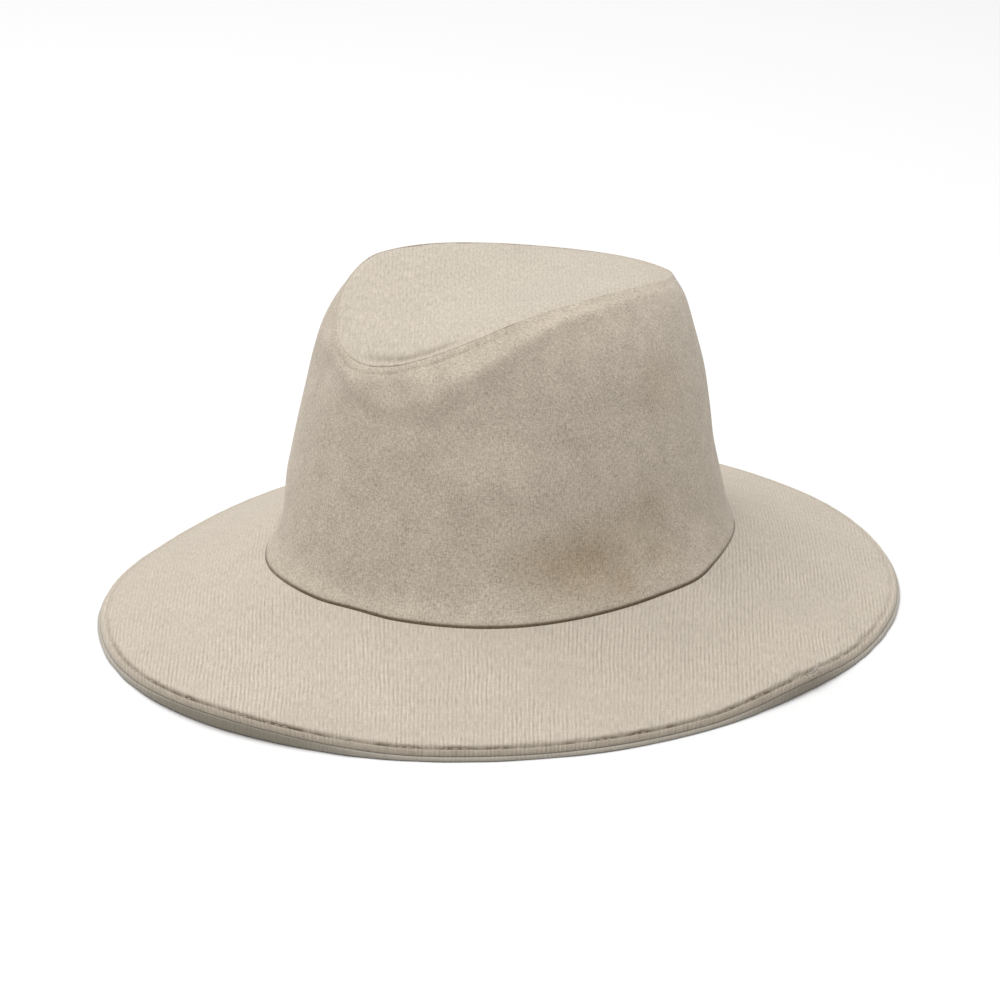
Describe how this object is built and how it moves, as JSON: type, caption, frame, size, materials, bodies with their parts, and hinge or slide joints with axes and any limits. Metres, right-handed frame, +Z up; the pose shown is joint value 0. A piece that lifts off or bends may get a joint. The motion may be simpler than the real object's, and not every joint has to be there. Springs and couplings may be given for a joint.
{
  "type": "fedora hat",
  "caption": "Soft cut-and-sew fedora in pale ribbed canvas: arched egg-shaped top panel, leaning crown wall with a soft shoulder, and a broad two-ply brim that slopes down to rest on its edge.",
  "frame": {"origin": "on the ground, under the middle of the hat's bounding box", "axes": "+Z up, the front of the hat towards -Y, the wearer's left towards +X"},
  "size_m": [0.3026, 0.3426, 0.1432],
  "materials": {
    "crown_cloth": "matt canvas with a fine slubby weave",
    "tip_cloth": "matt canvas with a fine slubby weave",
    "brim_cloth": "matt canvas with fine straight ribs",
    "under_cloth": "matt canvas with fine straight ribs"
  },
  "bodies": {
    "root": {"crown_side": "crown_cloth", "crown_tip": "tip_cloth", "brim_top": "brim_cloth", "brim_under": "under_cloth"}
  },
  "joints": []
}
